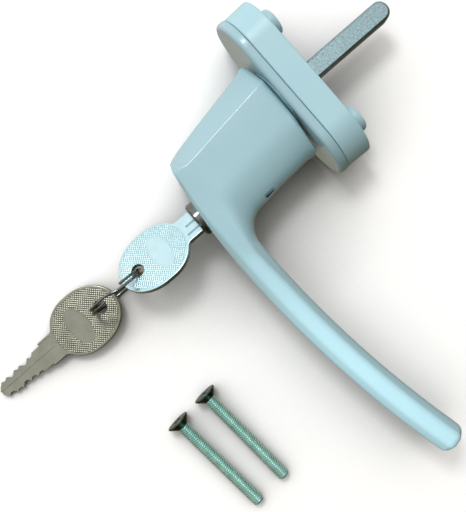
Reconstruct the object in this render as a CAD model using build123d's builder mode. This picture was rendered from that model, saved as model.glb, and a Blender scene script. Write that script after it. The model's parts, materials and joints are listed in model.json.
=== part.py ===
import os
from math import asin, cos, degrees, pi, radians, sin, sqrt, tan

from build123d import *

# Locking window handle with its two keys on a split ring and its two fixing screws.
# The handle lies on its side, as on a table. Origin: centre of the rosette's back face, on
# the spindle axis. +Y runs along the spindle into the window, +X along the lever to the
# grip's end, +Z up from the table. "Depth" is the distance in front of the back face.

# Rosette
rosette_length = 65.0
rosette_width = 29.0
base_depth = 9.5
base_draft = 2.0
base_edge = 0.5
base_front_wall = 2.5
base_wall = 2.2
rib_width = 1.4
seam_gap = 0.15
cover_depth = 3.3
cover_wall = 1.5
cover_edge = 1.5
cover_clearance = 0.1
boss_radius = 11.6
boss_height = 3.7

# Fixing holes and the nubs round them
screw_pitch = 43.0
nub_radius = 5.0
nub_height = 4.5
nub_edge = 1.4
screw_hole_radius = 2.75
countersink_radius = 5.0
countersink_angle = 90.0

# Detent chamber in the back of the base, and what turns in it
chamber_radius = 10.2
chamber_depth = 7.2
back_plate_radius = 11.2
back_plate_thickness = 1.0
back_plate_hole_radius = 5.7
collar_radius = 6.5
collar_end_depth = 2.6
collar_flat = 5.5
running_clearance = 0.05
press_clearance = 0.02
bush_wall = 0.9
thrust_washer_radius = 9.0
thrust_washer_thickness = 0.45
hub_half_width = 7.3
hub_corner = 2.6
hub_thickness = 2.6
circlip_groove_depth = 0.9
circlip_thickness = 0.8
circlip_radius = 8.4
leaf_thickness = 0.5
leaf_width = 2.2
leaf_sag = 0.9

# Square spindle
spindle_side = 7.0
spindle_reach = 35.5
spindle_socket_depth = 34.0
spindle_tip_radius = 3.4
spindle_chamfer = 0.8
cross_pin_radius = 1.5
cross_pin_depth = 24.0
cross_pin_reach = 4.5
cross_pin_length = 16.0
cross_pin_bore = 0.7
cross_pin_slit = 0.5

# Neck of the lever: width across X at its foot and at its top, and half thickness
neck_depth = 14.0
neck_foot_left = -16.5
neck_foot_right = 22.0
neck_waist_depth = 18.0
neck_waist_left = -15.5
neck_half_thickness = 12.6
neck_left_slope = 0.195
neck_crease_x = -6.5
neck_crease_slope = 0.118
neck_inner_x = 23.3
neck_side_flat = 2.6
neck_front_flat = 11.1
neck_front_bevel = 1.4
neck_right_bevel = 12.0
foot_round = ((0.0, 1.3), (0.5, 0.5), (1.6, 0.0))

# Grip: a bowed bar whose back bends round from the neck on bend_radius
front_depth = 59.2
front_fall = 0.0021
grip_start = 36.0
grip_end = 125.9
grip_thickness = 10.3
grip_half_width = 9.5
grip_bow_radius = 365.0
bend_radius = 9.5
corner_round = 3.0
grip_tip_round = 2.6
neck_right_side = ((neck_waist_depth, 21.6), (24.0, 22.0), (31.0, 22.4))

# Lever sections: bevels, flats and the roundings of the inner edge, creases and outer edge
grip_bevel = 2.8
grip_flat = 5.2
neck_rounds = (2.4, 9.0, 1.2, 2.0)
grip_rounds = (5.0, 3.2, 3.2, 5.0)
widest_bevel = 0.34
widest_crease = 0.28
bend_share_end = 0.9
bend_share_power = 1.3
strip_end_turn = 18
grip_share_start = 0.93
grip_share_rise = 0.006
strip_turns = (8, 14, strip_end_turn)
corner_bevels = ((21, 3.6, 7.2), (24, neck_front_bevel, neck_front_flat))
bend_turns = (28, 33, 38, 44, 51, 59, 68, 79, 90)
grip_places = (grip_start, 41.0, 48.0, 56.0, 72.0, 90.0, 108.0, grip_end)

# Lock cylinder, set beside the spindle in the neck
lock_x = 12.6
housing_radius = 6.4
housing_front_depth = 60.4
housing_back_wall = 2.2
housing_chamfer = 0.7
lock_travel = 2.8
plug_radius = 5.0
plug_recess = 0.3
plug_end_wall = 1.0
plug_tail_radius = 1.8
plug_tail_reach = 1.0
plug_tail_play = 0.2
plug_groove_rise = 1.6
plug_groove_width = 1.7
plug_groove_sink = 0.5
plug_pin_radius = 0.75
keyway_width = 8.3
keyway_height = 2.3
keyway_spare = 0.6
wafer_thickness = 0.8
wafer_half_height = 3.0
wafer_spring_radius = 0.4
wafer_spring_length = 4.0
wafer_spring_height = 3.75
wafer_room = 0.1
wafer_tongue_width = 0.6
wafer_tongue_rise = 1.15
wafer_spring_pocket = (5.6, 1.3)
latch_thickness = 2.0
latch_gap = 0.6
latch_width = 5.8
latch_window = 1.95
latch_draw = 0.8
latch_foot = 3.6
latch_recess = 1.1
locking_pin_radius = 1.5
locking_pin_orbit = 9.3
locking_pin_tip_depth = 14.05
spring_seat_depth = 22.0
spring_coil_radius = 2.25
spring_wire_radius = 0.3
spring_turns = 4
spring_room = 0.15
locking_pin_seat = 2.0
bore_spare = 1.0
stop_pin_radius = 1.6
stop_pin_rise = 3.8
stop_pin_reach = 1.0
stop_pin_length = 3.4
release_slot_x = 19.6
release_slot_z = 3.7
release_slot_length = 4.4
release_slot_height = 1.1
release_slot_round = 0.5
stop_slot_play = 0.2
pin_chamfer = 0.3
pin_hole_spare = 1.4

# Keys
key_turned = 30.0
key_thickness = 2.0
key_stand_off = 0.15
key_collar_length = 4.4
key_collar_half_width = 4.95
key_collar_corner = 0.5
blade_length = 21.2
blade_width = 8.0
blade_tip_length = 3.0
blade_tip_half_width = 0.7
blade_groove = (-0.2, 1.3)
blade_edge_groove = (3.3, 2.2)
blade_groove_depth = 0.6
groove_run_out = (4.0, 5.2)
first_cut_back = 5.2
cut_pitch = 3.2
cut_width = 1.2
cut_angle = 45.0
blade_cuts = ((1.0, 0.9), (1.9, 1.3), (1.2, 1.8), (2.0, 1.2), (1.4, 2.1))
bow_centre = 15.0
bow_half_length = 13.3
bow_half_width = 10.95
bow_near_centre = 12.5
bow_near_half_length = 11.6
bow_shoulder_round = 2.0
bow_hole_radius = 2.3
bow_hole_at = 21.5
bow_edge = 0.35

# Split ring: two turns of wire that cross over where the ends meet
ring_radius = 10.9
ring_wire_radius = 0.5
ring_pitch = 1.45
ring_jog = 40.0
spare_hole_z = -9.6

# Fixing screws, which lie on the table beside the handle
screw_length = 41.0
screw_radius = 2.2
screw_head_radius = 4.4
screw_head_rim = 0.5
screw_tip_chamfer = 0.5
screw_places = ((60.4, -111.4, 4.2), (59.3, -98.0, 3.2))
recess_length = 5.0
recess_width = 1.0
recess_depth = 1.6
recess_taper = 12.0

# Levels that follow from these sizes
table_z = -rosette_width / 2
table_gap = 0.05
seam_depth = base_depth + seam_gap
plug_front_depth = housing_front_depth - plug_recess
key_stop_depth = plug_front_depth + key_stand_off
bow_base_depth = key_stop_depth + key_collar_length
keyway_end_depth = key_stop_depth - blade_length - keyway_spare
plug_end_depth = keyway_end_depth - plug_end_wall
latch_depth = plug_end_depth - latch_gap - latch_thickness
plug_tail_end_depth = latch_depth - plug_tail_reach
housing_back_depth = plug_tail_end_depth - housing_back_wall
plug_groove_depth = plug_end_depth + plug_groove_rise
stop_pin_depth = housing_back_depth + stop_pin_rise
bore_end_depth = housing_back_depth - lock_travel - bore_spare
first_wafer_depth = key_stop_depth - first_cut_back
boss_front_depth = base_depth + boss_height
os.makedirs("parts", exist_ok=True)


def front(depth):
    """A plane parallel to the window, this far in front of the rosette's back."""
    return Plane.XZ.offset(depth)


# Base plate: moulded body with two fixing nubs, ribs and a chamber for the detent
nub_places = [(-screw_pitch / 2, 0), (screw_pitch / 2, 0)]
pin_places = [(-locking_pin_orbit, 0), (locking_pin_orbit, 0)]
with BuildPart() as base_plate:
    with BuildSketch(front(0)):
        SlotOverall(rosette_length, rosette_width)
    extrude(amount=base_depth, taper=base_draft)
    fillet(base_plate.faces().sort_by(Axis.Y)[0].edges(), base_edge)
    fillet(base_plate.faces().sort_by(Axis.Y)[-1].edges(), base_edge)
    with BuildSketch(front(base_depth)):
        Circle(boss_radius)
    extrude(amount=boss_height)
    with BuildSketch(front(0)):
        with Locations(*nub_places):
            Circle(nub_radius)
    extrude(amount=-nub_height)
    nub_ends = base_plate.faces().filter_by(Plane.XZ).sort_by(Axis.Y)[-2:]
    fillet(nub_ends.edges(), nub_edge)
    with BuildSketch(front(0)):
        SlotOverall(rosette_length - 2 * base_wall, rosette_width - 2 * base_wall)
        Circle(chamber_radius + base_wall, mode=Mode.SUBTRACT)
        with Locations(*nub_places):
            Circle(nub_radius, mode=Mode.SUBTRACT)
            Rectangle(rib_width, rosette_width, mode=Mode.SUBTRACT)
        Rectangle(rosette_length, rib_width, mode=Mode.SUBTRACT)
    extrude(amount=base_depth - base_front_wall, mode=Mode.SUBTRACT)
    with BuildSketch(front(0)):
        Circle(chamber_radius)
    extrude(amount=chamber_depth, mode=Mode.SUBTRACT)
    with BuildSketch(front(0)):
        Circle(back_plate_radius)
    extrude(amount=back_plate_thickness, mode=Mode.SUBTRACT)
    with BuildSketch(front(0)):
        Circle(collar_radius + running_clearance + bush_wall)
    extrude(amount=boss_front_depth, mode=Mode.SUBTRACT)
    with BuildSketch(front(boss_front_depth)):
        with Locations(*pin_places):
            Circle(locking_pin_radius + 2 * running_clearance)
    extrude(amount=-(lock_travel + pin_hole_spare), mode=Mode.SUBTRACT)
    with BuildSketch(front(-nub_height)):
        with Locations(*nub_places):
            Circle(screw_hole_radius)
    extrude(amount=nub_height + base_depth, mode=Mode.SUBTRACT)
    with Locations(front(base_depth)):
        with Locations(*nub_places):
            Cone(
                screw_hole_radius,
                countersink_radius,
                countersink_radius - screw_hole_radius,
                align=(Align.CENTER, Align.CENTER, Align.MAX),
                mode=Mode.SUBTRACT,
            )

# Cover plate: a shallow cap that turns on the base's boss to uncover the screws
with BuildPart() as cover_plate:
    with BuildSketch(front(seam_depth)):
        SlotOverall(rosette_length, rosette_width)
    extrude(amount=cover_depth)
    fillet(cover_plate.faces().sort_by(Axis.Y)[0].edges(), cover_edge)
    fillet(cover_plate.faces().sort_by(Axis.Y)[-1].edges(), base_edge)
    with BuildSketch(front(seam_depth)):
        SlotOverall(rosette_length - 2 * cover_wall, rosette_width - 2 * cover_wall)
        Circle(boss_radius + cover_wall, mode=Mode.SUBTRACT)
    extrude(amount=cover_depth - cover_wall, mode=Mode.SUBTRACT)
    with BuildSketch(front(seam_depth)):
        Circle(boss_radius + cover_clearance)
    extrude(amount=cover_depth, mode=Mode.SUBTRACT)

# Bush, detent hub, washer, circlip and back plate, all round the lever's collar
with BuildPart() as bearing_bush:
    with BuildSketch(front(chamber_depth)):
        Circle(collar_radius + running_clearance + bush_wall - press_clearance)
        Circle(collar_radius + running_clearance, mode=Mode.SUBTRACT)
    extrude(amount=boss_front_depth - chamber_depth)

hub_front_depth = chamber_depth - thrust_washer_thickness - running_clearance
with BuildPart() as thrust_washer:
    with BuildSketch(front(hub_front_depth + press_clearance)):
        Circle(thrust_washer_radius)
        Circle(collar_radius + running_clearance, mode=Mode.SUBTRACT)
    extrude(amount=thrust_washer_thickness)

with BuildPart() as detent_hub:
    with BuildSketch(front(hub_front_depth - hub_thickness)):
        RectangleRounded(2 * hub_half_width, 2 * hub_half_width, hub_corner)
        with BuildSketch(mode=Mode.SUBTRACT):
            Circle(collar_radius + press_clearance)
            side = 2 * (collar_flat + press_clearance)
            Rectangle(side, side, mode=Mode.INTERSECT)
    extrude(amount=hub_thickness)

circlip_depth = hub_front_depth - hub_thickness - circlip_thickness - press_clearance
with BuildPart() as circlip:
    with BuildSketch(front(circlip_depth)):
        Circle(circlip_radius)
        Circle(collar_radius - circlip_groove_depth + press_clearance, mode=Mode.SUBTRACT)
        with Locations((0, -circlip_radius)):
            Rectangle(collar_radius, circlip_radius, mode=Mode.SUBTRACT)
    extrude(amount=circlip_thickness)

with BuildPart() as back_plate:
    with BuildSketch(front(0)):
        Circle(back_plate_radius - press_clearance)
        Circle(back_plate_hole_radius, mode=Mode.SUBTRACT)
    extrude(amount=back_plate_thickness - press_clearance)

# Two bowed leaf springs press on the hub's flats and give the four click positions
leaf_z = hub_half_width + running_clearance
leaf_half = sqrt(chamber_radius**2 - (leaf_z + leaf_sag + leaf_thickness) ** 2) - 0.1
leaf_depth = hub_front_depth - hub_thickness / 2 - leaf_width / 2
with BuildPart() as detent_springs:
    with BuildSketch(front(leaf_depth)):
        with BuildLine():
            low = ThreePointArc(
                (-leaf_half, leaf_z + leaf_sag), (0, leaf_z), (leaf_half, leaf_z + leaf_sag)
            )
            high = ThreePointArc(
                (-leaf_half, leaf_z + leaf_sag + leaf_thickness),
                (0, leaf_z + leaf_thickness),
                (leaf_half, leaf_z + leaf_sag + leaf_thickness),
            )
            Line(low @ 0, high @ 0)
            Line(low @ 1, high @ 1)
        make_face()
        mirror(about=Plane.XZ)
    extrude(amount=leaf_width)


# Lever casting: sections that stand across the neck, fan round the bend and run along the grip
def blend(a, b, share):
    """A value between a and b."""
    return a + (b - a) * share


def lever_section(inner, outer, grip_share, bevel_out, flat_out, inset=0):
    """A rounded eight-sided face between two points of the side outline.

    grip_share runs from 0 in the neck to 1 in the oval grip. The bevel and the half height of
    the flat at the outer end are given, and inset draws the whole face in."""
    across = Vector(*outer, 0) - Vector(*inner, 0)
    span = across.length
    half = blend(neck_half_thickness, grip_half_width, grip_share) - inset
    bevel_in = min(blend(neck_right_bevel, grip_bevel, grip_share), widest_bevel * span)
    flat_in = blend(neck_side_flat, grip_flat, grip_share)
    rounds = [blend(neck, grip, grip_share) for neck, grip in zip(neck_rounds, grip_rounds)]
    rounds[1:3] = [min(crease, widest_crease * span) for crease in rounds[1:3]]
    plane = Plane(Vector(*inner, 0), x_dir=across, z_dir=across.cross(Vector(0, 0, 1)))
    with BuildSketch(plane) as section:
        with BuildLine():
            FilletPolyline(
                (0, flat_in),
                (bevel_in, half),
                (span - bevel_out, half),
                (span, flat_out),
                (span, -flat_out),
                (span - bevel_out, -half),
                (bevel_in, -half),
                (0, -flat_in),
                radius=rounds + rounds[::-1],
                close=True,
            )
        make_face()
    return section.sketch.face()


def left_side(depth):
    """X of the neck's left side at a depth below its flared foot."""
    return neck_waist_left + (depth - neck_waist_depth) * neck_left_slope


def strip_width(depth, left):
    """Width of the sloping strip between the left side and the crease of the flat face."""
    return neck_crease_x + (depth - neck_waist_depth) * neck_crease_slope - left


def neck_section(depth, right, inset=0):
    """The section straight across the neck."""
    left = neck_foot_left if depth < neck_waist_depth else left_side(depth)
    bevel = strip_width(depth, left) - inset
    inner = (right - inset, -depth)
    return lever_section(inner, (left + inset, -depth), 0, bevel, neck_side_flat, inset)


bend_x = neck_inner_x + bend_radius
bend_depth = front_depth - grip_thickness - bend_radius


def bend_section(turn):
    """The ends of the section across the bend, turned by this many degrees from the neck's."""
    back = cos(radians(turn))
    out = sin(radians(turn))
    to_side = (bend_x - left_side(bend_depth)) / (back + out * neck_left_slope)
    # the front side is a shallow parabola that the grip runs on from
    lead = grip_start - bend_x
    a = front_fall * back**2
    b = 2 * front_fall * back * lead + out
    c = front_depth - bend_depth - front_fall * lead**2
    to_front = 2 * c / (b + sqrt(b * b + 4 * a * c))
    # the two meet in a rounded corner
    reach = (to_side + to_front - sqrt((to_side - to_front) ** 2 + corner_round**2)) / 2
    inner = (bend_x - bend_radius * back, -(bend_depth + bend_radius * out))
    outer = (bend_x - reach * back, -(bend_depth + reach * out))
    return inner, outer


def grip_section(x):
    """The ends of the section square across the grip, from a point x on its front."""
    along = max(0, x - grip_start)
    lean = along / grip_bow_radius
    outer = Vector(x, along**2 / (2 * grip_bow_radius) - front_depth)
    inner = outer + Vector(-sin(lean), cos(lean)) * grip_thickness
    return (inner.X, inner.Y), (outer.X, outer.Y)


def strip_section(turn):
    """A section of the bend that still ends in the sloping strip of the left side."""
    inner, outer = bend_section(turn)
    bevel = strip_width(-outer[1], outer[0])
    return lever_section(inner, outer, 0, bevel, neck_side_flat)


def front_section(ends, share):
    """A section that ends in the lever's front, which narrows towards the grip."""
    bevel = blend(neck_front_bevel, grip_bevel, share)
    return lever_section(*ends, share, bevel, blend(neck_front_flat, grip_flat, share))


def turn_share(turn):
    """How far the lever has changed from neck to grip at a turn of its bend."""
    return bend_share_end * ((turn - strip_end_turn) / (90 - strip_end_turn)) ** bend_share_power


neck_stations = [
    *[neck_section(neck_depth + rise, neck_foot_right, inset) for rise, inset in foot_round],
    *[neck_section(depth, right) for depth, right in neck_right_side],
    neck_section(bend_depth, neck_inner_x),
]
bend_stations = [
    *[strip_section(turn) for turn in strip_turns],
    *[
        lever_section(*bend_section(turn), turn_share(turn), bevel, flat)
        for turn, bevel, flat in corner_bevels
    ],
    *[front_section(bend_section(turn), turn_share(turn)) for turn in bend_turns],
]
grip_stations = [
    front_section(grip_section(x), min(1, grip_share_start + (x - grip_start) * grip_share_rise))
    for x in grip_places
]
with BuildPart() as grip:
    loft(grip_stations[2:])
    fillet(grip.faces().sort_by(Axis.X)[-1].edges(), grip_tip_round)
with BuildPart() as lever:
    loft([*neck_stations, *bend_stations, *grip_stations[:3]], ruled=True)
    add(grip.part)
    # collar that turns in the bush, with two pairs of flats for the hub
    with BuildSketch(front(collar_end_depth)):
        Circle(collar_radius)
        Rectangle(2 * collar_flat, 2 * collar_flat, mode=Mode.INTERSECT)
    extrude(amount=chamber_depth - collar_end_depth)
    with BuildSketch(front(chamber_depth)):
        Circle(collar_radius)
    extrude(amount=neck_depth + 1 - chamber_depth)
    with BuildSketch(front(circlip_depth - press_clearance)):
        Circle(collar_radius + 1)
        Circle(collar_radius - circlip_groove_depth, mode=Mode.SUBTRACT)
    extrude(amount=circlip_thickness + 2 * press_clearance, mode=Mode.SUBTRACT)
    # socket for the square spindle and the blind hole of its cross pin
    with BuildSketch(front(collar_end_depth)):
        socket_side = spindle_side + 2 * press_clearance
        Rectangle(socket_side, socket_side)
    extrude(amount=spindle_socket_depth - collar_end_depth, mode=Mode.SUBTRACT)
    with BuildSketch(Plane.XY.offset(-rosette_width / 2)):
        with Locations((0, -cross_pin_depth)):
            Circle(cross_pin_radius + press_clearance)
    extrude(amount=rosette_width / 2 + cross_pin_reach, mode=Mode.SUBTRACT)
    # bore of the lock cylinder, then the spring's pocket and the locking pin's guide
    with BuildSketch(front(bore_end_depth)):
        with Locations((lock_x, 0)):
            Circle(housing_radius + running_clearance)
    extrude(amount=front_depth, mode=Mode.SUBTRACT)
    with BuildSketch(front(spring_seat_depth)):
        with Locations((locking_pin_orbit, 0)):
            Circle(spring_coil_radius + spring_wire_radius + spring_room)
    extrude(amount=bore_end_depth - spring_seat_depth, mode=Mode.SUBTRACT)
    with BuildSketch(front(neck_depth)):
        with Locations((locking_pin_orbit, 0)):
            Circle(locking_pin_radius + running_clearance)
    extrude(amount=spring_seat_depth - neck_depth, mode=Mode.SUBTRACT)
    # hole of the stop pin and the release slot above it, in the side under the grip
    with BuildSketch(Plane.YZ.offset(lock_x)):
        with Locations((-stop_pin_depth, 0)):
            Circle(stop_pin_radius + press_clearance)
    extrude(amount=neck_foot_right, mode=Mode.SUBTRACT)
    with BuildSketch(Plane.YZ.offset(release_slot_x)):
        with Locations((-stop_pin_depth, release_slot_z)):
            RectangleRounded(release_slot_length, release_slot_height, release_slot_round)
    extrude(amount=neck_foot_right, mode=Mode.SUBTRACT)
    # recess that the latch finds when the cylinder is pushed home
    with BuildSketch(front(latch_depth - lock_travel - running_clearance)):
        with Locations((lock_x, housing_radius)):
            Rectangle(latch_width + 4 * running_clearance, 2 * latch_recess)
    extrude(amount=latch_thickness + 2 * running_clearance, mode=Mode.SUBTRACT)

# Spindle, with its chamfered full-round tip, and the roll pin that holds it
with BuildPart() as spindle:
    with BuildSketch(front(-spindle_reach)):
        Rectangle(spindle_side, spindle_side)
    extrude(amount=spindle_reach + spindle_socket_depth - press_clearance)
    tip = spindle.faces().sort_by(Axis.Y)[-1]
    fillet(tip.edges().filter_by(Axis.Z), spindle_tip_radius)
    chamfer(spindle.faces().sort_by(Axis.Y)[-1].edges(), spindle_chamfer)
    with BuildSketch(Plane.XY.offset(-spindle_side)):
        with Locations((0, -cross_pin_depth)):
            Circle(cross_pin_radius + press_clearance)
    extrude(amount=2 * spindle_side, mode=Mode.SUBTRACT)

with BuildPart() as cross_pin:
    with BuildSketch(Plane.XY.offset(cross_pin_reach - cross_pin_length)):
        with Locations((0, -cross_pin_depth)):
            Circle(cross_pin_radius)
            Circle(cross_pin_bore, mode=Mode.SUBTRACT)
            with Locations((cross_pin_radius, 0)):
                Rectangle(2 * cross_pin_radius, cross_pin_slit, mode=Mode.SUBTRACT)
    extrude(amount=cross_pin_length - press_clearance)

with BuildPart() as stop_pin:
    with BuildSketch(Plane.YZ.offset(lock_x + housing_radius - stop_pin_reach)):
        with Locations((-stop_pin_depth, 0)):
            Circle(stop_pin_radius)
    extrude(amount=stop_pin_length)
    chamfer(stop_pin.edges().filter_by(GeomType.CIRCLE), pin_chamfer)

# Lock cylinder: housing, plug, wafers on their springs, latch and locking pin
with BuildPart() as lock_housing:
    with BuildSketch(front(housing_back_depth)):
        with Locations((lock_x, 0)):
            Circle(housing_radius)
    extrude(amount=housing_front_depth - housing_back_depth)
    chamfer(lock_housing.faces().sort_by(Axis.Y)[0].edges(), housing_chamfer)
    with BuildSketch(front(plug_end_depth - running_clearance)):
        with Locations((lock_x, 0)):
            Circle(plug_radius + running_clearance)
    extrude(amount=housing_front_depth, mode=Mode.SUBTRACT)
    with BuildSketch(front(plug_tail_end_depth - plug_tail_play)):
        with Locations((lock_x, 0)):
            Circle(plug_tail_radius + running_clearance)
    extrude(amount=plug_end_depth - plug_tail_end_depth + plug_tail_play, mode=Mode.SUBTRACT)
    # cross slot for the latch
    with BuildSketch(front(latch_depth - running_clearance)):
        with Locations((lock_x, (housing_radius + 1 - latch_foot - latch_draw) / 2)):
            Rectangle(
                latch_width + 2 * running_clearance,
                housing_radius + 1 + latch_foot + latch_draw + 2 * running_clearance,
            )
    extrude(amount=latch_thickness + 2 * running_clearance, mode=Mode.SUBTRACT)
    # hole of the locking pin, slot of the stop pin and hole of the pin that keeps the plug
    with BuildSketch(front(housing_back_depth)):
        with Locations((locking_pin_orbit, 0)):
            Circle(locking_pin_radius + press_clearance)
    extrude(amount=locking_pin_seat, mode=Mode.SUBTRACT)
    with BuildSketch(Plane.YZ.offset(lock_x + housing_radius - stop_pin_reach - stop_slot_play)):
        with Locations((-(stop_pin_depth + lock_travel / 2), 0)):
            slot_width = 2 * stop_pin_radius + stop_slot_play
            SlotOverall(lock_travel + slot_width, slot_width)
    extrude(amount=housing_radius, mode=Mode.SUBTRACT)
    with BuildSketch(Plane.XY.offset(-housing_radius)):
        with Locations((lock_x, -plug_groove_depth)):
            Circle(plug_pin_radius + press_clearance)
    extrude(amount=housing_radius - plug_radius + plug_groove_sink, mode=Mode.SUBTRACT)

key_along = Vector(cos(radians(key_turned)), 0, sin(radians(key_turned)))


def plug_front(depth):
    """A plane across the lock's axis with its X along the width of the turned keyway."""
    return Plane((lock_x, -depth, 0), x_dir=key_along, z_dir=(0, -1, 0))


wafer_depths = [
    first_wafer_depth - n * cut_pitch - wafer_thickness / 2 for n in range(len(blade_cuts))
]
with BuildPart() as lock_plug:
    with BuildSketch(plug_front(plug_end_depth)):
        Circle(plug_radius)
    extrude(amount=plug_front_depth - plug_end_depth)
    with BuildSketch(plug_front(plug_tail_end_depth)):
        Circle(plug_tail_radius)
    extrude(amount=plug_end_depth - plug_tail_end_depth)
    with BuildSketch(plug_front(keyway_end_depth)):
        Rectangle(keyway_width, keyway_height)
    extrude(amount=plug_front_depth, mode=Mode.SUBTRACT)
    with BuildSketch(plug_front(plug_groove_depth - plug_groove_width / 2)):
        Circle(plug_radius + 1)
        Circle(plug_radius - plug_groove_sink, mode=Mode.SUBTRACT)
    extrude(amount=plug_groove_width, mode=Mode.SUBTRACT)
    for depth in wafer_depths:
        with BuildSketch(plug_front(depth - wafer_room)):
            Rectangle(2 * plug_radius, 2 * wafer_half_height + 2 * wafer_room)
            with Locations((0, wafer_spring_height)):
                Rectangle(*wafer_spring_pocket)
        extrude(amount=wafer_thickness + 2 * wafer_room, mode=Mode.SUBTRACT)

tongue_x = -(wafer_spring_length + wafer_tongue_width) / 2 - wafer_room
with BuildPart() as wafers:
    for depth in wafer_depths:
        with BuildSketch(plug_front(depth)):
            Circle(plug_radius - wafer_room)
            Rectangle(2 * plug_radius, 2 * wafer_half_height, mode=Mode.INTERSECT)
            with Locations((tongue_x, wafer_half_height)):
                Rectangle(wafer_tongue_width, 2 * wafer_tongue_rise)
            Rectangle(keyway_width + wafer_room, keyway_height + wafer_room, mode=Mode.SUBTRACT)
        extrude(amount=wafer_thickness)

with BuildPart() as wafer_springs:
    with BuildSketch(Plane((lock_x, 0, 0), x_dir=(0, -1, 0), z_dir=-key_along)):
        for depth in wafer_depths:
            with Locations((depth + wafer_thickness / 2, wafer_spring_height)):
                Circle(wafer_spring_radius)
    extrude(amount=wafer_spring_length / 2, both=True)

with BuildPart() as latch:
    with BuildSketch(front(latch_depth)):
        with Locations((lock_x, (housing_radius - latch_foot) / 2)):
            Rectangle(latch_width, housing_radius + latch_foot)
        with Locations((lock_x, latch_draw / 2)):
            Rectangle(2 * latch_window, 2 * latch_window + latch_draw, mode=Mode.SUBTRACT)
        with Locations((lock_x, 0)):
            Circle(housing_radius - running_clearance, mode=Mode.INTERSECT)
    extrude(amount=latch_thickness)

with BuildPart() as plug_pin:
    with BuildSketch(Plane.XY.offset(-housing_radius + running_clearance)):
        with Locations((lock_x, -plug_groove_depth)):
            Circle(plug_pin_radius)
    extrude(amount=housing_radius - plug_radius + plug_groove_sink - 2 * running_clearance)

with BuildPart() as locking_pin:
    with BuildSketch(front(locking_pin_tip_depth)):
        with Locations((locking_pin_orbit, 0)):
            Circle(locking_pin_radius)
    extrude(amount=housing_back_depth + locking_pin_seat - locking_pin_tip_depth - press_clearance)
    chamfer(locking_pin.faces().sort_by(Axis.Y)[-1].edges(), pin_chamfer)


def biarc(start, along_start, end, along_end):
    """Two arcs that run on from each other between two points with given directions."""
    gap = end - start
    both = along_start + along_end
    a = 2 * (1 - along_start.dot(along_end))
    b = 2 * gap.dot(both)
    reach = (-b + sqrt(b * b + 4 * a * gap.dot(gap))) / (2 * a)
    middle = (start + end + (along_start - along_end) * reach) * 0.5
    first = TangentArc(start, middle, tangent=along_start)
    second = TangentArc(middle, end, tangent=first % 1)
    return first, second


def wind(place, direction, knots):
    """The line of a winding: a chain of arcs through the knots of its formula."""
    for a, b in zip(knots, knots[1:]):
        biarc(place(a), direction(a), place(b), direction(b))


def least_gap(points, wire_radius, skip):
    """The least gap between a winding and its own other turns."""
    return min(
        (p - q).length - 2 * wire_radius
        for n, p in enumerate(points)
        for q in points[n + skip :]
    )


# Return spring: pushes the cylinder out again
spring_low = spring_seat_depth + spring_wire_radius + running_clearance
spring_high = housing_back_depth - spring_wire_radius - running_clearance
spring_rise = (spring_high - spring_low) / (2 * pi * spring_turns)


def spring_place(angle):
    """A point of the spring's wire after this much winding."""
    return Vector(
        locking_pin_orbit + spring_coil_radius * cos(angle),
        -(spring_low + spring_rise * angle),
        spring_coil_radius * sin(angle),
    )


def spring_direction(angle):
    """The wire's direction there."""
    return Vector(
        -spring_coil_radius * sin(angle), -spring_rise, spring_coil_radius * cos(angle)
    ).normalized()


spring_knots = [n * pi / 2 for n in range(4 * spring_turns + 1)]
with BuildPart() as return_spring:
    with BuildLine() as spring_line:
        wind(spring_place, spring_direction, spring_knots)
    with BuildSketch(Plane(spring_place(0), z_dir=spring_direction(0))):
        RegularPolygon(spring_wire_radius, 8)
    sweep(path=spring_line.wire())
spring_points = [spring_place(n * pi / 12) for n in range(24 * spring_turns + 1)]
print("return spring, least gap to itself", least_gap(spring_points, spring_wire_radius, 13))

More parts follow.
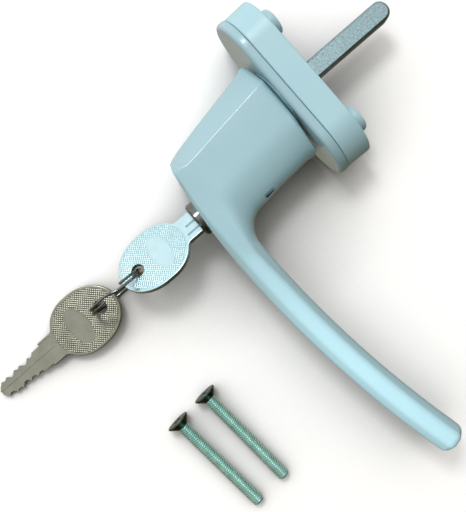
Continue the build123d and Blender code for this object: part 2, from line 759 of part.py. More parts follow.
# Keys: oval bow with its hole, a collar that stops on the plug, and a blade with cuts on both
# edges and milled grooves
def key(plane):
    """A key in its own plane: the base of its bow at the origin, its bow along +X."""
    underside = plane.offset(-key_thickness / 2)
    with BuildPart() as piece:
        with BuildSketch(underside) as outline:
            with Locations((bow_centre, 0)):
                Ellipse(bow_half_length, bow_half_width)
            with Locations((bow_near_centre, 0)):
                Ellipse(bow_near_half_length, bow_half_width)
            with Locations(((bow_near_centre + bow_centre) / 2, 0)):
                Rectangle(bow_centre - bow_near_centre, 2 * bow_half_width)
            with Locations((-key_collar_length, 0)):
                Rectangle(
                    key_collar_length + bow_centre,
                    2 * key_collar_half_width,
                    align=(Align.MIN, Align.CENTER),
                )
            fillet(outline.vertices().group_by(Axis.X)[0], key_collar_corner)
            shoulders = outline.vertices().filter_by_position(Axis.X, 0, bow_near_centre / 2)
            fillet(shoulders, bow_shoulder_round)
            with Locations((bow_hole_at, 0)):
                Circle(bow_hole_radius, mode=Mode.SUBTRACT)
        extrude(amount=key_thickness)
        bow_faces = piece.faces().sort_by(SortBy.AREA)[-2:]
        fillet(bow_faces.edges(), bow_edge)
        with BuildSketch(underside):
            with BuildLine():
                tip = -key_collar_length - blade_length
                half = blade_width / 2
                Polyline(
                    (-key_collar_length / 2, half),
                    (tip + blade_tip_length, half),
                    (tip, blade_tip_half_width),
                    (tip, -blade_tip_half_width),
                    (tip + blade_tip_length, -half),
                    (-key_collar_length / 2, -half),
                    close=True,
                )
            make_face()
            for n, (near, far) in enumerate(blade_cuts):
                cut_at = -key_collar_length - first_cut_back - n * cut_pitch
                for side, cut in ((1, near), (-1, far)):
                    with BuildLine():
                        Polyline(
                            (cut_at - cut_width / 2, side * (half - cut)),
                            (cut_at - cut_width / 2 - cut / cut_slope, side * half),
                            (cut_at + cut_width / 2 + cut / cut_slope, side * half),
                            (cut_at + cut_width / 2, side * (half - cut)),
                            close=True,
                        )
                    make_face(mode=Mode.SUBTRACT)
        extrude(amount=key_thickness)
        for side, level in ((1, key_thickness - blade_groove_depth), (-1, 0)):
            with BuildSketch(underside.offset(level)):
                for (place, width), run in zip((blade_groove, blade_edge_groove), groove_run_out):
                    with Locations((tip, side * place)):
                        Rectangle(blade_length + run, width, align=(Align.MIN, Align.CENTER))
            extrude(amount=blade_groove_depth, mode=Mode.SUBTRACT)
    return piece


cut_slope = tan(radians(cut_angle))
key_plane = Plane(
    (lock_x, -bow_base_depth, 0), x_dir=(0, -1, 0), z_dir=key_along.cross(Vector(0, -1, 0)) * -1
)
lock_key = key(key_plane)

# Split ring: stands upright through the bow's hole and leans its lowest point on the table
hole_depth = bow_base_depth + bow_hole_at
ring_height = table_z + ring_radius + ring_wire_radius + table_gap
ring_depth = hole_depth + sqrt(ring_radius**2 - ring_height**2)
turn_end = 2 * pi - radians(ring_jog) / 2


def ring_side(angle):
    """How far the wire lies to the side: it crosses over on the jog between its turns."""
    share = max(-1, min(1, angle / radians(ring_jog / 2)))
    return ring_pitch / 2 * sin(share * pi / 2)


def ring_place(angle):
    """A point of the ring's wire, counted from the middle of the crossing, at the top."""
    return Vector(
        lock_x + ring_side(angle),
        -ring_depth + ring_radius * sin(angle),
        ring_height + ring_radius * cos(angle),
    )


def ring_direction(angle):
    """The wire's direction there."""
    step = 0.001
    return (ring_place(angle + step) - ring_place(angle - step)).normalized()


jog_end = radians(ring_jog / 2)
turn_steps = 7
turn_knots = [jog_end + n * (turn_end - jog_end) / turn_steps for n in range(turn_steps + 1)]
ring_knots = [-angle for angle in turn_knots[::-1]] + [0] + turn_knots
with BuildPart() as split_ring:
    with BuildLine() as ring_line:
        wind(ring_place, ring_direction, ring_knots)
    with BuildSketch(Plane(ring_place(-turn_end), z_dir=ring_direction(-turn_end))):
        Circle(ring_wire_radius)
    sweep(path=ring_line.wire())
ring_points = [ring_place(-turn_end + n * turn_end / 120) for n in range(241)]
print("split ring, least gap to itself", least_gap(ring_points, ring_wire_radius, 15))

# Spare key: lies on the table with its bow raised on the ring
spare_reach = bow_hole_at + key_collar_length + blade_length
spare_tip_z = table_z + key_thickness / 2 + table_gap
spare_hole_depth = ring_depth + sqrt(ring_radius**2 - (spare_hole_z - ring_height) ** 2)
spare_tilt = asin((spare_hole_z - spare_tip_z) / spare_reach)
spare_along = Vector(0, cos(spare_tilt), sin(spare_tilt))
spare_hole = Vector(lock_x, -spare_hole_depth, spare_hole_z)
spare_plane = Plane(
    spare_hole - spare_along * bow_hole_at,
    x_dir=spare_along,
    z_dir=Vector(0, -sin(spare_tilt), cos(spare_tilt)),
)
spare_key = key(spare_plane)
print("spare key's hole", spare_hole, "tilt", degrees(spare_tilt))

# Fixing screws: countersunk, lying on their heads' rims on the table
with BuildPart() as fixing_screws:
    for x, y, turn in screw_places:
        lean = asin((screw_head_radius - screw_radius) / screw_length)
        along = Vector(cos(radians(turn)), sin(radians(turn)), 0) * cos(lean)
        along += Vector(0, 0, -sin(lean))
        head = Plane((x, y, table_z + screw_head_radius + table_gap), z_dir=along)
        with BuildSketch(head):
            Circle(screw_head_radius)
        extrude(amount=screw_head_rim)
        with BuildSketch(head.offset(screw_head_rim)):
            Circle(screw_head_radius)
        with BuildSketch(head.offset(screw_head_rim + screw_head_radius - screw_radius)):
            Circle(screw_radius)
        loft()
        with BuildSketch(head):
            Circle(screw_radius)
        extrude(amount=screw_length)
        chamfer(fixing_screws.faces().sort_by(Axis.X)[-1].edges(), screw_tip_chamfer)
        with BuildSketch(head):
            Rectangle(recess_length, recess_width)
            Rectangle(recess_width, recess_length)
        extrude(amount=recess_depth, taper=recess_taper, mode=Mode.SUBTRACT)

for name, piece in (
    ("base_plate", base_plate),
    ("cover_plate", cover_plate),
    ("bearing_bush", bearing_bush),
    ("thrust_washer", thrust_washer),
    ("detent_hub", detent_hub),
    ("circlip", circlip),
    ("back_plate", back_plate),
    ("detent_springs", detent_springs),
    ("lever", lever),
    ("spindle", spindle),
    ("cross_pin", cross_pin),
    ("stop_pin", stop_pin),
    ("lock_housing", lock_housing),
    ("lock_plug", lock_plug),
    ("wafers", wafers),
    ("wafer_springs", wafer_springs),
    ("latch", latch),
    ("plug_pin", plug_pin),
    ("locking_pin", locking_pin),
    ("return_spring", return_spring),
    ("lock_key", lock_key),
    ("split_ring", split_ring),
    ("spare_key", spare_key),
    ("fixing_screws", fixing_screws),
):
    piece.part.label = name
    export_step(piece.part, f"parts/{name}.step")
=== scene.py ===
import json
from math import acos, asin, cos, radians, sin, sqrt

import bpy
from mathutils import Matrix, Vector


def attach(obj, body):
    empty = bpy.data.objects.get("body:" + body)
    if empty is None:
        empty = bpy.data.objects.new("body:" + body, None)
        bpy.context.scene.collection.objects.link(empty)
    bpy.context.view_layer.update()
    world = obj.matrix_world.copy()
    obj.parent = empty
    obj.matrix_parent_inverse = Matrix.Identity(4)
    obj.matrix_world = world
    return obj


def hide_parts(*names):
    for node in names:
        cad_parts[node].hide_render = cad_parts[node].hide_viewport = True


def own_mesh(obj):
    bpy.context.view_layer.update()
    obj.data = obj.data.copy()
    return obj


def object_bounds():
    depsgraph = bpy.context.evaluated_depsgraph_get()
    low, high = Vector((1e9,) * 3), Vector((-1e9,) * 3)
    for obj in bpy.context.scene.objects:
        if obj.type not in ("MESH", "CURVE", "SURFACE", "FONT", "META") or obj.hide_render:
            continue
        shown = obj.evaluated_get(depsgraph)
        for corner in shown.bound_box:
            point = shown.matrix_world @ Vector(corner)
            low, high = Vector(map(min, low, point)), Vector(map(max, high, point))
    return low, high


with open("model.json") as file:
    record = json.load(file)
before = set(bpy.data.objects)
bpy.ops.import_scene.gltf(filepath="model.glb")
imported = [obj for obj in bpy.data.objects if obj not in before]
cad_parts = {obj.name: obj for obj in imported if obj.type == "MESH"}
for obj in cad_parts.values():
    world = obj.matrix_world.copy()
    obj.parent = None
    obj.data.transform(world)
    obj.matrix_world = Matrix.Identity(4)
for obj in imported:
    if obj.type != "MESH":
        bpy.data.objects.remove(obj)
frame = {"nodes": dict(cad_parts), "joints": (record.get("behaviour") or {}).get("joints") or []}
cad_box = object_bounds()
nodes = frame["nodes"]


# Base plate: the body of the rosette, with two nubs that sit in the bores of the sash. It is
# moulded in one piece, with the colour in the plastic, a fine orange peel and flow clouds.
def tone(red, green, blue):
    """A colour as a screen shows it, 0 to 255, as the light that a shader works in."""
    parts = [c / 255 for c in (red, green, blue)]
    light = [c / 12.92 if c <= 0.04045 else ((c + 0.055) / 1.055) ** 2.4 for c in parts]
    return (*light, 1.0)


class Channel:
    """A socket of a finish. Sums written on it add Math nodes."""

    def __init__(self, finish, socket):
        self.finish = finish
        self.socket = socket

    def maths(self, operation, *others):
        values = dict(enumerate((self, *others)))
        return self.finish.node("Math", values, operation=operation)

    def __add__(self, other):
        return self.maths("ADD", other)

    def __sub__(self, other):
        return self.maths("SUBTRACT", other)

    def __rsub__(self, other):
        return self.finish.node("Math", {0: other, 1: self}, operation="SUBTRACT")

    def __mul__(self, other):
        return self.maths("MULTIPLY", other)

    def __truediv__(self, other):
        return self.maths("DIVIDE", other)

    def __lt__(self, other):
        return self.maths("LESS_THAN", other)

    def __gt__(self, other):
        return self.maths("GREATER_THAN", other)

    __radd__ = __add__
    __rmul__ = __mul__


class Finish:
    """The nodes of a material or of the surroundings.

    Plain values go on its shader, and what changes from place to place comes in by links."""

    def __init__(self, owner, shader="Principled BSDF", coordinates="Object", **plain):
        owner.use_nodes = True
        self.owner = owner
        self.tree = owner.node_tree
        self.shader = self.tree.nodes[shader]
        self.place = self.node("TexCoord", output=coordinates)
        self.set(**plain)

    def node(self, kind, values=(), output=0, stops=(), **settings):
        """Any node: its settings and stops first, then the values or links of its sockets."""
        made = self.tree.nodes.new("ShaderNode" + kind)
        for key, value in settings.items():
            setattr(made, key, value)
        for n, (at, colour) in enumerate(stops):
            elements = made.color_ramp.elements
            stop = elements[n] if n < 2 else elements.new(at)
            stop.position = at
            stop.color = colour
        for key, value in dict(values).items():
            self.put(made.inputs[key], value)
        return Channel(self, made.outputs[output])

    def put(self, socket, value):
        if isinstance(value, Channel):
            self.tree.links.new(value.socket, socket)
        else:
            socket.default_value = value

    def set(self, **values):
        for key, value in values.items():
            self.put(self.shader.inputs[key.replace("_", " ")], value)

    def mix(self, share, first, second):
        values = {0: share, 6: first, 7: second}
        return self.node("Mix", values, output=2, data_type="RGBA")

    def noise(self, scale, detail=2.0, roughness=0.5, vector=None):
        values = {"Vector": vector or self.place, "Scale": scale, "Detail": detail}
        return self.node("TexNoise", {**values, "Roughness": roughness})

    def ramp(self, share, *stops):
        greys = [(at, (level, level, level, 1.0)) for at, level in stops]
        return self.node("ValToRGB", {0: share}, stops=greys)

    def bump(self, height, distance):
        return self.node("Bump", {"Height": height, "Distance": distance})

    def split(self, vector):
        return [self.node("SeparateXYZ", {0: vector}, output=n) for n in range(3)]

    def on(self, *objects):
        for o in objects:
            o.data.materials.clear()
            o.data.materials.append(self.owner)


def finish(name, **plain):
    return Finish(bpy.data.materials.new(name), **plain)


plastic = finish("moulded_plastic", IOR=1.48, Coat_Weight=0.12, Coat_Roughness=0.25)
cloud = plastic.noise(55.0, 3.0)
peel = plastic.noise(1500.0, 2.0)
plastic.set(
    Base_Color=plastic.mix(cloud, tone(157, 194, 205), tone(166, 201, 210)),
    Roughness=0.36 + 0.12 * cloud,
    Normal=plastic.bump(peel, 0.00003),
)
plastic.on(nodes["base_plate"])

# Bearing bush: turned from natural acetal and pressed into the base's boss. The detent's hub
# and the washer under it are of the same plastic.
acetal = finish("natural_acetal", IOR=1.48)
haze = acetal.noise(160.0, 2.0)
acetal.set(
    Base_Color=acetal.mix(haze, tone(226, 223, 210), tone(240, 238, 228)),
    Roughness=0.45 + 0.1 * haze,
)
acetal.on(nodes["bearing_bush"], nodes["detent_hub"], nodes["thrust_washer"])

# Back plate, leaf springs and circlip: steel stampings. The springs press on the hub for the
# click positions, the clip holds the hub on the collar, and the plate closes the chamber.
steel = finish("inner_steel", Metallic=1.0)
grain = steel.noise(300.0, 4.0)
steel.set(
    Base_Color=steel.mix(grain, tone(128, 128, 126), tone(176, 176, 172)),
    Roughness=0.28 + 0.2 * grain,
    Normal=steel.bump(grain, 0.00002),
)
steel.on(nodes["back_plate"], nodes["detent_springs"], nodes["circlip"])

# Cover plate: a zinc casting that turns aside over the screws, under a gloss powder coat that
# is a little deeper in tone than the plastic and has a soft orange peel.
paint_light = tone(151, 186, 195)
paint_deep = tone(142, 177, 188)
paint = finish("gloss_powder_coat", IOR=1.5, Coat_Weight=0.55, Coat_Roughness=0.14)
cloud = paint.noise(40.0, 3.0)
speck = paint.noise(2600.0, 2.0)
peel = paint.noise(850.0, 3.0)
paint.set(
    Base_Color=paint.mix(cloud, paint_deep, paint_light),
    Roughness=0.3 + 0.1 * cloud + 0.05 * speck,
    Normal=paint.bump(peel + 0.3 * speck, 0.00004),
)
paint.on(nodes["cover_plate"])

# Lever: neck, bend and grip in one zinc casting, polished and powder coated. The polish runs
# the faces on the inner side of the neck and bend into one soft round.
bend_centre = Vector((0.0328, -0.0394, 0.0))
bend_radius = 0.0095
inner_side = ((0.014, 0.0220), (0.018, 0.0216), (0.024, 0.0220), (0.031, 0.0224), (0.0394, 0.0233))
turn_starts, turn_ends, turn_power = radians(18.0), radians(90.0), 1.3
half_thickness = (0.0126, 0.0095)
side_flat = (0.0026, 0.0052)
side_bevel = (0.0120, 0.0028)
to_left_side, left_slope, to_front = 0.04413, 0.195, 0.0198
widest_bevel = 0.34
round_longer = 1.28
round_low, round_high = -0.058, -0.0145
near_in_neck, near_in_bend = 0.0009, 0.0024
finer_part, finer_cuts = 0.8, 3


def pick(piece, test, mode="VERT"):
    """In edit mode, selects what has its middle where the test says."""
    bpy.ops.object.mode_set(mode="OBJECT")
    mesh = piece.data
    for group in (mesh.vertices, mesh.edges, mesh.polygons):
        for item in group:
            item.select = False
    if mode == "VERT":
        for v in mesh.vertices:
            v.select = test(v.co)
    elif mode == "EDGE":
        for e in mesh.edges:
            middle = sum((mesh.vertices[n].co for n in e.vertices), Vector()) / 2
            e.select = test(middle)
    else:
        for p in mesh.polygons:
            p.select = test(p.center)
    bpy.ops.object.mode_set(mode="EDIT")
    bpy.ops.mesh.select_mode(type=mode)


def merged_copy(node, name, body):
    """A piece that stands for a node, with the node's mesh merged to one closed surface."""
    bpy.ops.object.select_all(action="DESELECT")
    made = nodes[node].copy()
    made.data = nodes[node].data.copy()
    made.name = name
    bpy.context.collection.objects.link(made)
    made.select_set(True)
    bpy.context.view_layer.objects.active = made
    bpy.ops.object.mode_set(mode="EDIT")
    bpy.ops.mesh.customdata_custom_splitnormals_clear()
    bpy.ops.mesh.select_all(action="SELECT")
    bpy.ops.mesh.remove_doubles(threshold=0.000002)
    bpy.ops.object.mode_set(mode="OBJECT")
    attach(made, body)
    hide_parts(node)
    return made


def round_at(c):
    """How far a point is from the inner side, which way that side faces, how far the bend has
    turned there from 0 to 1, and the half thickness, the side's flat and the bevel there."""
    depth = -c.y
    if depth < -bend_centre.y:
        side = inner_side[0][1]
        for (top, x_top), (low, x_low) in zip(inner_side, inner_side[1:]):
            if depth > top:
                side = x_top + (x_low - x_top) * (depth - top) / (low - top)
        inwards, away, turn = side - c.x, Vector((1.0, 0.0, 0.0)), 0.0
    else:
        to_centre = Vector((bend_centre.x - c.x, bend_centre.y - c.y, 0.0))
        inwards, away = to_centre.length - bend_radius, to_centre.normalized()
        turn = acos(max(-1.0, min(1.0, away.x)))
    share = min(1.0, max(0.0, (turn - turn_starts) / (turn_ends - turn_starts)) ** turn_power)
    half, flat, bevel = [a + (b - a) * share for a, b in (half_thickness, side_flat, side_bevel)]
    # the way across the casting there, to its left side or its front, limits the bevel
    left = to_left_side / (cos(turn) + left_slope * sin(turn))
    front = to_front / max(0.01, sin(turn))
    bevel = min(bevel, widest_bevel * (min(left, front) - bend_radius))
    return inwards, away, share, half, flat, bevel


def on_round(c):
    """Whether a point lies on the outside, between the flat face and the inner side."""
    if not (round_low < c.y < round_high and 0.0 < c.x < bend_centre.x):
        return False
    inwards, _, share, half, flat, bevel = round_at(c)
    level = min(half, flat + (half - flat) * max(0.0, inwards) / bevel)
    near = near_in_bend if share > 0.0 else near_in_neck
    return inwards < round_longer * bevel and abs(abs(c.z) - level) < near


def on_bevel(c):
    """Whether a point of the round lies on the bevel, clear of the bevel's upper edge."""
    if not on_round(c):
        return False
    inwards, *_, bevel = round_at(c)
    return inwards < finer_part * bevel


casting = merged_copy("lever", "lever_casting", "handle")
pick(casting, on_bevel, "FACE")
bpy.ops.mesh.subdivide(number_cuts=finer_cuts)
bpy.ops.object.mode_set(mode="OBJECT")
bpy.ops.object.shade_smooth_by_angle(angle=radians(28.0))
facing = []
for v in casting.data.vertices:
    facing.append(Vector((0.0, 0.0, 0.0)))
    if on_round(v.co):
        inwards, away, share, half, flat, bevel = round_at(v.co)
        reach = round_longer * bevel
        u = min(0.999, max(0.0, 1.0 - inwards / reach))
        slope = (half - flat) / reach * u / sqrt(1.0 - u * u)
        round_normal = away * slope + Vector((0.0, 0.0, 1.0 if v.co.z > 0.0 else -1.0))
        blended = v.normal.lerp(round_normal.normalized(), (1.0 - share) ** 0.5)
        facing[-1] = blended.normalized()
casting.data.normals_split_custom_set_from_vertices(facing)
paint.on(casting)

# Release slot of the lever: a narrow slot over the stop pin, to press the pin back by. It is
# painted inside, and a dark band along its mouth is painted shade, so that the slot reads as a
# dark opening.
slot_low, slot_high = (0.0190, -0.0378, 0.0030), (0.0222, -0.0330, 0.0044)
mouth_shade_from, mouth_shade_to = 0.0217, 0.0219
flat_enough = 0.95
slot_shade_finish = finish("slot_painted_shade", Metallic=0.6, IOR=1.5)
x, _, _ = slot_shade_finish.split(slot_shade_finish.place)
grit = slot_shade_finish.noise(1800.0, 3.0)
# painted shade: the slot's flat inner faces go dark toward its mouth
mouth_shade = slot_shade_finish.node("MapRange", {"Value": x, "From Min": mouth_shade_from, "From Max": mouth_shade_to})
slot_shade_finish.set(
    Base_Color=slot_shade_finish.mix(mouth_shade, paint_deep, tone(20, 22, 20)),
    Roughness=0.5 + 0.2 * grit,
)
casting.data.materials.append(slot_shade_finish.owner)
for face in casting.data.polygons:
    inside = all(low < c < high for low, c, high in zip(slot_low, face.center, slot_high))
    if inside and max(abs(n) for n in face.normal) > flat_enough:
        face.material_index = 1

# Spindle: a drawn square steel bar, zinc plated, with the plating's fine dark and light grain
# drawn out along it. A roll pin crosses it and the lever, and a stop pin keeps the lock in.
zinc = finish("grained_zinc", Metallic=1.0)
drawn = zinc.node("Mapping", {"Vector": zinc.place, "Scale": (1.0, 0.5, 1.0)})
grain = zinc.ramp(zinc.noise(2300.0, 5.0, 0.75, drawn), (0.3, 0.0), (0.7, 1.0))
cloud = zinc.noise(120.0, 3.0)
zinc.set(
    Base_Color=zinc.mix(0.8 * grain + 0.2 * cloud, tone(86, 104, 108), tone(172, 198, 204)),
    Roughness=0.4 + 0.2 * cloud - 0.1 * grain,
    Normal=zinc.bump(grain, 0.00002),
)
zinc.on(nodes["spindle"])
steel.on(nodes["cross_pin"], nodes["stop_pin"])

# Lock housing: a turned cylinder with polished chrome plate, which slides in the neck's bore.
# The split ring of the keys has the same plate on spring wire.
chrome = finish("chrome_plate", Metallic=1.0)
wear = chrome.noise(500.0, 3.0)
chrome.set(
    Base_Color=chrome.mix(wear, tone(72, 78, 76), tone(134, 140, 138)),
    Roughness=0.08 + 0.1 * wear,
)
chrome.on(nodes["lock_housing"], nodes["split_ring"])

# Lock plug, wafers and latch: brass, turned and stamped. A brass pin keeps the plug in the
# housing, and the locking pin and the wafers' springs are steel.
brass = finish("turned_brass", Metallic=1.0)
grain = brass.noise(700.0, 3.0)
brass.set(
    Base_Color=brass.mix(grain, tone(176, 146, 84), tone(214, 188, 122)),
    Roughness=0.25 + 0.15 * grain,
)
brass.on(nodes["lock_plug"], nodes["wafers"], nodes["latch"], nodes["plug_pin"])
steel.on(nodes["locking_pin"], nodes["wafer_springs"])

# Return spring: a steel coil between the lock and the bottom of its bore. Its bottom end stays
# on the lever, and the real coil shortens as the lock is pushed in; this copy keeps its length.
joints = {j["name"]: j for j in frame["joints"]}
coil = merged_copy("return_spring", "return_coil", "handle")
bpy.ops.object.shade_smooth_by_angle(angle=radians(40.0))
steel.on(coil)
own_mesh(coil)

# Keys: stamped brass blanks, nickel plated, with a knurl rolled into the bow inside a smooth
# rim and round a smooth oval pad. The knurl's grooves and the whole knurled field are painted
# darker than the rim, pad and blade, as painted shade, over random wear and scratches. The
# spare one is rougher and more scratched, and its plate has a darker tone as painted shade.
bow_hole_at = 0.0215
bow_shapes = ((0.0125, 0.0116), (0.015, 0.0133))
bow_half_width = 0.01095
rim_inside, rim_width = 0.84, 0.05
knurl_pitch = 0.00074
knurl_depth = 0.00012
pad_at = 0.0115
pad_half = (0.0040, 0.0074)
pad_inside = 0.8
key_turned = radians(30.0)


def key_finish(name, hole, along, across, dark, bright, gloss):
    """Nickel plate on a key whose bow lies along and across two directions from its hole."""
    plate = finish(name, Metallic=1.0)
    turned = Matrix((along, across, along.cross(across))).transposed().to_euler()
    base = hole - bow_hole_at * along
    values = {"Vector": plate.place, "Location": base, "Rotation": turned}
    x, y, _ = plate.split(plate.node("Mapping", values, vector_type="TEXTURE"))
    hatches = [(x + way * y) * (sqrt(0.5) / knurl_pitch) for way in (1.0, -1.0)]
    one, other = [h.maths("PINGPONG", 0.5) for h in hatches]
    knurl = 2.0 * one.maths("MINIMUM", other)
    outs = []
    for centre, half in bow_shapes:
        u = (x - centre) / half
        v = y / bow_half_width
        outs.append(u * u + v * v)
    out = outs[0].maths("MINIMUM", outs[1])
    u = (x - pad_at) / pad_half[0]
    v = y / pad_half[1]
    pad = u * u + v * v
    inside = (out < rim_inside) * (pad > 1.0)
    rim = (out > rim_inside) * (out < rim_inside + rim_width) + (pad < 1.0) * (pad > pad_inside)
    scratch = plate.noise(2200.0, 4.0, 0.7)
    cloud = plate.noise(260.0, 4.0)
    # random wear, plus painted shade: darker in the knurl's grooves and over the knurled field
    wear_and_shade = 0.4 * cloud + 0.2 * scratch + 0.25 * inside * knurl + 0.4 * (1.0 - inside)
    plate.set(
        Base_Color=plate.mix(wear_and_shade, dark, bright),
        Roughness=gloss + 0.16 * scratch,
        Normal=plate.bump(inside * knurl + (1.0 - inside) + 0.5 * rim, knurl_depth),
    )
    return plate


down = Vector((0.0, -1.0, 0.0))
hole = Vector(joints["ring_swing"]["pos_m"])
side = Vector((cos(key_turned), 0.0, sin(key_turned)))
nickel = key_finish("key_nickel", hole, down, side, tone(150, 182, 190), tone(204, 232, 238), 0.2)
nickel.on(nodes["lock_key"])
hole = Vector(joints["spare_swing"]["pos_m"])
upwards = Vector(joints["spare_swing"]["axis"])
along = Vector((1.0, 0.0, 0.0)).cross(upwards).normalized() * -1
across = upwards.cross(along)
# painted shade: the spare's plate is painted darker than the lock key's
spare_plate_shaded = key_finish("spare_nickel", hole, along, across, tone(60, 58, 50), tone(168, 169, 155), 0.24)
spare_plate_shaded.on(nodes["spare_key"])

# Fixing screws: countersunk steel with a cross recess and a thread to the head, in blue-green
# passivated zinc that is darker on the head. They lie loose beside the handle.
screw_length = 0.041
screw_radius = 0.0022
screw_head_radius = 0.0044
screw_head_rim = 0.0005
screw_rim_round = 0.00012
screw_tip_chamfer = 0.0005
screw_neck_end = screw_head_rim + screw_head_radius - screw_radius
screw_places = ((0.0604, -0.1114, 4.2), (0.0593, -0.0980, 3.2))
screw_rolls = (25.0, 155.0)
thread_pitch = 0.0008
thread_depth = 0.00034
thread_crest = 0.25
thread_in_head = 0.0004
thread_short_of_tip = 0.00005
thread_steps = 24
turns_over = 5
recess_arm_length, recess_arm_width, recess_depth = 0.0050, 0.0010, 0.0016
recess_taper = 0.7
table_z = cad_box[0][2]
table_gap = 0.00005
bar_room = 0.00001
passivated = finish("screw_zinc", Metallic=1.0)
wear = passivated.noise(420.0, 4.0)
passivated.set(
    Base_Color=passivated.mix(wear, tone(136, 176, 170), tone(200, 232, 226)),
    Roughness=0.2 + 0.2 * wear,
)
dark_head = finish("screw_head_zinc", Metallic=1.0)
wear = dark_head.noise(700.0, 4.0)
dark_head.set(
    Base_Color=dark_head.mix(wear, tone(34, 48, 44), tone(84, 106, 98)),
    Roughness=0.18 + 0.2 * wear,
)


def started(operator, stretch=(1.0, 1.0, 1.0), **place):
    """A new primitive, stretched along its own axes, with nothing else selected."""
    bpy.ops.object.select_all(action="DESELECT")
    operator(**place)
    made = bpy.context.object
    made.scale = stretch
    bpy.ops.object.transform_apply(location=True, rotation=True, scale=True)
    return made


def rod(radius, length, vertices):
    """A round bar along X from the origin."""
    return started(
        bpy.ops.mesh.primitive_cylinder_add,
        vertices=vertices,
        radius=radius,
        depth=length,
        location=(length / 2, 0.0, 0.0),
        rotation=(0.0, radians(90.0), 0.0),
    )


def combine(piece, other, operation):
    """Adds or takes another closed shape, which is then deleted."""
    step = piece.modifiers.new("combine", "BOOLEAN")
    step.operation = operation
    step.object = other
    step.solver = "EXACT"
    bpy.ops.object.select_all(action="DESELECT")
    bpy.context.view_layer.objects.active = piece
    piece.select_set(True)
    bpy.ops.object.modifier_apply(modifier=step.name)
    bpy.data.objects.remove(other)


# the thread: one tooth's outline wound along the shank, longer than it at both ends
tooth_z = screw_radius - thread_depth / 2
tooth_at = (-2 * thread_pitch, 0.0, tooth_z)
screw_blank = started(
    bpy.ops.mesh.primitive_plane_add,
    size=1.0,
    location=tooth_at,
    rotation=(radians(90.0), 0.0, 0.0),
    stretch=(thread_pitch, thread_depth, 1.0),
)
pick(screw_blank, lambda c: c.z > tooth_z)
bpy.ops.transform.resize(value=(thread_crest, 1.0, 1.0), center_override=tooth_at)
pick(screw_blank, lambda c: c.z < tooth_z - 0.4 * thread_depth, "EDGE")
bpy.ops.mesh.delete(type="EDGE")
bpy.ops.object.mode_set(mode="OBJECT")
winding = screw_blank.modifiers.new("winding", "SCREW")
winding.axis = "X"
winding.screw_offset = thread_pitch
winding.iterations = int(screw_length / thread_pitch) + turns_over
winding.steps = thread_steps
winding.render_steps = thread_steps
bpy.ops.object.modifier_apply(modifier=winding.name)
bpy.ops.object.mode_set(mode="EDIT")
bpy.ops.mesh.select_all(action="SELECT")
bpy.ops.mesh.remove_doubles(threshold=0.000001)
thread_ends = (
    (screw_neck_end - thread_in_head, "clear_inner"),
    (screw_length - thread_short_of_tip, "clear_outer"),
)
for at, cleared in thread_ends:
    bpy.ops.mesh.select_all(action="SELECT")
    cut = {"plane_co": (at, 0.0, 0.0), "plane_no": (1.0, 0.0, 0.0), cleared: True}
    bpy.ops.mesh.bisect(use_fill=True, threshold=0.000001, **cut)
bpy.ops.mesh.select_all(action="SELECT")
bpy.ops.mesh.normals_make_consistent(inside=False)
bpy.ops.object.mode_set(mode="OBJECT")

# the tip: a bar with a chamfered end keeps the thread inside it
bar = rod(screw_radius + bar_room, screw_length, vertices=48)
pick(bar, lambda c: c.x > screw_length - 0.0001, "FACE")
bpy.ops.mesh.bevel(offset=screw_tip_chamfer, segments=1)
bpy.ops.object.mode_set(mode="OBJECT")
combine(screw_blank, bar, "INTERSECT")

# the head: a rim and a cone down to the shank, with a tapered cross sunk in its face
head = rod(screw_head_radius, screw_head_rim, vertices=64)
pick(head, lambda c: c.x > 0.9 * screw_head_rim, "FACE")
cone = (screw_head_radius - screw_radius, 0.0, 0.0)
bpy.ops.mesh.extrude_region_move(TRANSFORM_OT_translate={"value": cone})
narrowed = screw_radius / screw_head_radius
neck_middle = (screw_neck_end, 0.0, 0.0)
bpy.ops.transform.resize(value=(narrowed, narrowed, narrowed), center_override=neck_middle)
pick(head, lambda c: c.x < 0.0001, "FACE")
bpy.ops.mesh.bevel(offset=screw_rim_round, segments=2)
bpy.ops.object.mode_set(mode="OBJECT")
arms = ((recess_arm_width, recess_arm_length), (recess_arm_length, recess_arm_width))
for width, height in arms:
    arm = started(
        bpy.ops.mesh.primitive_cube_add,
        size=1.0,
        location=(0.0, 0.0, 0.0),
        stretch=(2 * recess_depth, width, height),
    )
    pick(arm, lambda c: c.x > 0.0)
    tapered = (1.0, recess_taper, recess_taper)
    bpy.ops.transform.resize(value=tapered, center_override=(recess_depth, 0.0, 0.0))
    bpy.ops.object.mode_set(mode="OBJECT")
    combine(head, arm, "DIFFERENCE")
combine(screw_blank, head, "UNION")
bpy.ops.object.mode_set(mode="EDIT")
bpy.ops.mesh.select_all(action="SELECT")
bpy.ops.mesh.remove_doubles(threshold=0.000001)
bpy.ops.object.mode_set(mode="OBJECT")
bpy.ops.object.shade_smooth_by_angle(angle=radians(25.0))
head_end = screw_neck_end - 0.0003
head_faces = [face.index for face in screw_blank.data.polygons if face.center.x < head_end]

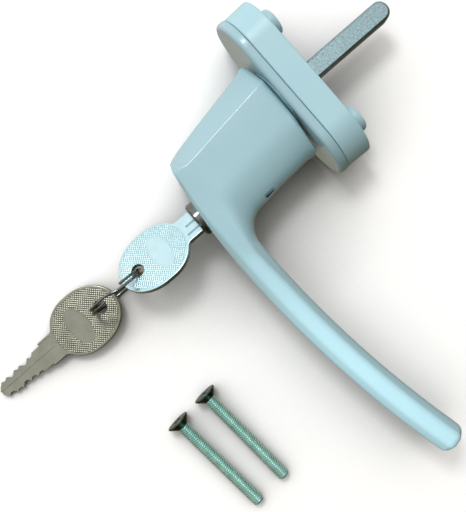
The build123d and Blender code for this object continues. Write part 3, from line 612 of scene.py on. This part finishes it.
# each screw lies on its head's rim and its tip
lean = asin((screw_head_radius - screw_radius) / screw_length)
for n, ((x, y, turn), rolled) in enumerate(zip(screw_places, screw_rolls)):
    screw = screw_blank.copy()
    screw.data = screw_blank.data.copy()
    screw.name = f"fixing_screw_{n + 1}"
    bpy.context.collection.objects.link(screw)
    flat = Vector((cos(radians(turn)), sin(radians(turn)), 0.0)) * cos(lean)
    lie = (flat - Vector((0.0, 0.0, sin(lean)))).to_track_quat("X", "Z").to_matrix().to_4x4()
    place = Matrix.Translation((x, y, table_z + screw_head_radius + table_gap))
    screw.matrix_world = place @ lie @ Matrix.Rotation(radians(rolled), 4, "X")
    bpy.ops.object.select_all(action="DESELECT")
    bpy.context.view_layer.objects.active = screw
    screw.select_set(True)
    bpy.ops.object.transform_apply(location=True, rotation=True, scale=True)
    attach(screw, "rosette")
    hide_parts("fixing_screws")
    passivated.on(screw)
    screw.data.materials.append(dark_head.owner)
    for index in head_faces:
        screw.data.polygons[index].material_index = 1
bpy.data.objects.remove(screw_blank)

# Table: a plain white board, which lights nothing itself. Its colour is painted dark close to
# what lies on it, most on the side away from the lamp: a painted soft shadow.
painted_shadow_reach = 0.045
painted_shadow_full = 0.86
lean_from_lamp = (-0.45, 0.0, 0.893)
table = started(bpy.ops.mesh.primitive_plane_add, size=4.0, location=(0.0, 0.0, table_z))
table.name = "table"
table.visible_diffuse = False
table.visible_glossy = False
board = finish("white_board_painted_shadow", Specular_IOR_Level=0.0, Roughness=1.0)
leaning = board.node("CombineXYZ", dict(enumerate(lean_from_lamp)))
values = {"Distance": painted_shadow_reach, "Normal": leaning}
clear = board.node("AmbientOcclusion", values, output=1, samples=16)
near = board.ramp(clear, (0.0, 0.0), (painted_shadow_full, 1.0))
# painted shadow: the board's colour goes dark where other pieces are near
board.set(Base_Color=board.mix(near, tone(50, 48, 49), tone(255, 255, 255)))
board.on(table)

# Studio: surroundings that go from white on the lamp's side to a warm dark on the other, a
# broad lamp on the side away from the grip, and a soft light that reaches the lever alone.
lamp_place = Vector((-0.5, 0.05, 0.9))
view_middle = Vector((0.02955, -0.0586, 0.0))
spot_place = Vector((0.13, -0.26, 0.43))
spot_aim = Vector((0.1, -0.058, 0.0))
studio = Finish(bpy.data.worlds.new("studio"), "Background", "Generated", Strength=1.2)
x, _, z = studio.split(studio.place)
sideways = 0.5 + 0.5 * x
stops = ((0.0, tone(255, 255, 255)), (0.5, tone(237, 237, 237)), (0.72, tone(166, 158, 142)))
above = studio.node("ValToRGB", {0: sideways}, stops=(*stops, (1.0, tone(66, 56, 40))))
stops = ((0.0, tone(240, 240, 236)), (0.4, tone(178, 166, 146)), (0.6, tone(124, 110, 84)))
ground = studio.node("ValToRGB", {0: sideways}, stops=(*stops, (1.0, tone(34, 28, 18))))
level = studio.ramp(0.5 + 0.5 * z, (0.47, 0.0), (0.64, 1.0))
studio.set(Color=studio.mix(level, ground, above))
bpy.context.scene.world = studio.owner


def light(name, kind, place, aim, **settings):
    """A lamp at a place, turned to what it is aimed at."""
    data = bpy.data.lights.new(name, kind)
    for key, value in settings.items():
        setattr(data, key, value)
    made = bpy.data.objects.new(name, data)
    bpy.context.collection.objects.link(made)
    made.location = place
    made.rotation_euler = (aim - place).to_track_quat("-Z", "Y").to_euler()
    return made


light("broad_lamp", "AREA", lamp_place, view_middle, shape="DISK", size=0.3, energy=3.9)
shape = {"spot_size": radians(22.0), "spot_blend": 1.0, "shadow_soft_size": 0.04}
spot = light("grip_spot", "SPOT", spot_place, spot_aim, energy=8.8, **shape)
spot.visible_glossy = False
lit_by_spot = bpy.data.collections.new("lit_by_spot")
lit_by_spot.objects.link(casting)
spot.light_linking.receiver_collection = lit_by_spot

# Camera: straight above the middle of the handle, with the rosette at the upper right. Its
# lens gives a metre 2955 pixels at the level of the handle's middle.
view_height = 0.265
view_turn = radians(49.0)
pixels_per_metre = 2955.0
picture_height = 512
eye = bpy.data.cameras.new("camera")
eye.sensor_fit = "VERTICAL"
eye.sensor_height = 36.0
eye.lens = eye.sensor_height * pixels_per_metre * view_height / picture_height
camera = bpy.data.objects.new("camera", eye)
bpy.context.collection.objects.link(camera)
camera.location = (view_middle.x, view_middle.y, view_height)
camera.rotation_euler = (0.0, 0.0, view_turn)
bpy.context.scene.camera = camera
bpy.context.scene.view_settings.view_transform = "Standard"
